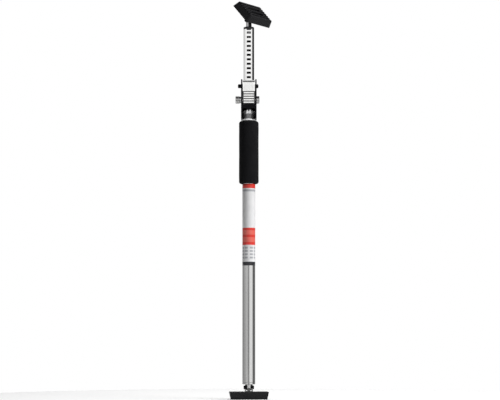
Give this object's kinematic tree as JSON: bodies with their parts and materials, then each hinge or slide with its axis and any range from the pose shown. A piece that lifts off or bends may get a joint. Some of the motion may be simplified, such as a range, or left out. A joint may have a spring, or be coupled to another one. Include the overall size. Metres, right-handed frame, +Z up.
{
  "type": "telescopic ceiling support",
  "caption": "Telescopic prop wedged between floor and ceiling, with tilting ribbed pads, a slotted ratchet tube, a thumb-lever lock and a foam grip.",
  "frame": {"origin": "on the tube axis, in the plane of the foot pad's rib tops, where the foot meets the floor", "axes": "+Z up the tubes, -Y the side that the lever and the slots face, +X to the right of that side"},
  "size_m": [0.0946, 0.0916, 0.8714],
  "materials": {
    "black_rubber": "matte moulded rubber",
    "black_paint": "semi-gloss black coat",
    "zinc_steel": "bright zinc plate",
    "bright_tube": "polished tube",
    "chrome": "bright chrome",
    "spring_steel": "drawn wire",
    "dark_steel": "blackened steel",
    "foam": "closed-cell foam",
    "black_nylon": "moulded nylon",
    "grey_nylon": "moulded nylon"
  },
  "bodies": {
    "outer_tube": {"outer_tube": "bright_tube", "foam_grip": "foam", "head_collar": "chrome", "collar_rivets": "zinc_steel", "lock_housing": "black_paint", "lever_pin": "black_paint", "guide_shoes": "grey_nylon", "clamp_nut": "zinc_steel"},
    "lock_lever": {"lock_lever": "zinc_steel", "lever_spring": "spring_steel"},
    "clamp_knob": {"clamp_screw": "zinc_steel", "clamp_knob": "zinc_steel"},
    "ratchet_tube": {"ratchet_tube": "zinc_steel", "ratchet_cap": "black_nylon", "ratchet_glide": "grey_nylon"},
    "top_neck": {"top_neck": "dark_steel", "top_circlip": "spring_steel"},
    "top_pad": {"top_pad": "black_rubber", "top_bracket": "black_paint", "top_hinge_pin": "black_paint", "top_rivets": "zinc_steel", "top_backing_plates": "zinc_steel"},
    "lock_sleeve": {"lock_sleeve": "grey_nylon"},
    "inner_tube": {"inner_tube": "bright_tube", "foot_plug": "black_nylon", "lock_plug": "grey_nylon", "lock_spindle": "zinc_steel", "lock_nut": "zinc_steel"},
    "foot_neck": {"foot_neck": "zinc_steel", "foot_circlip": "spring_steel"},
    "foot_pad": {"foot_pad": "black_rubber", "foot_bracket": "black_paint", "foot_hinge_pin": "black_paint", "foot_rivets": "zinc_steel", "foot_backing_plates": "zinc_steel"}
  },
  "joints": [
    {"name": "ratchet_slide", "type": "slide", "parent": "outer_tube", "child": "ratchet_tube", "axis": [0, 0, 1], "range_m": [-0.09, 0.03]},
    {"name": "lever_release", "type": "hinge", "parent": "outer_tube", "child": "lock_lever", "pos_m": [0, -0.016, 0.6845], "axis": [1, 0, 0], "range_deg": [0, 9], "stiffness_Nm_per_rad": 0.4, "springref_deg": -22.92},
    {"name": "clamp_turn", "type": "hinge", "parent": "outer_tube", "child": "clamp_knob", "pos_m": [0, -0.016, 0.6539], "axis": [1, 0, 0], "range_deg": [-180, 180]},
    {"name": "top_swivel", "type": "hinge", "parent": "ratchet_tube", "child": "top_neck", "pos_m": [0, 0, 0.8357], "axis": [0, 0, 1], "continuous": true},
    {"name": "top_tilt", "type": "hinge", "parent": "top_neck", "child": "top_pad", "pos_m": [0, 0, 0.8357], "axis": [0.6074, 0.7944, 0], "range_deg": [-102, 7]},
    {"name": "inner_tube_slide", "type": "slide", "parent": "outer_tube", "child": "lock_sleeve", "axis": [0, 0, -1], "range_m": [0, 0.32]},
    {"name": "twist_lock", "type": "hinge", "parent": "lock_sleeve", "child": "inner_tube", "pos_m": [0, 0, 0.44], "axis": [0, 0, 1], "range_deg": [0, 270]},
    {"name": "foot_swivel", "type": "hinge", "parent": "inner_tube", "child": "foot_neck", "pos_m": [0, 0, 0.0256], "axis": [0, 0, 1], "continuous": true},
    {"name": "foot_tilt", "type": "hinge", "parent": "foot_neck", "child": "foot_pad", "pos_m": [0, 0, 0.0256], "axis": [0.9981, 0.061, 0], "range_deg": [-55, 55]}
  ]
}
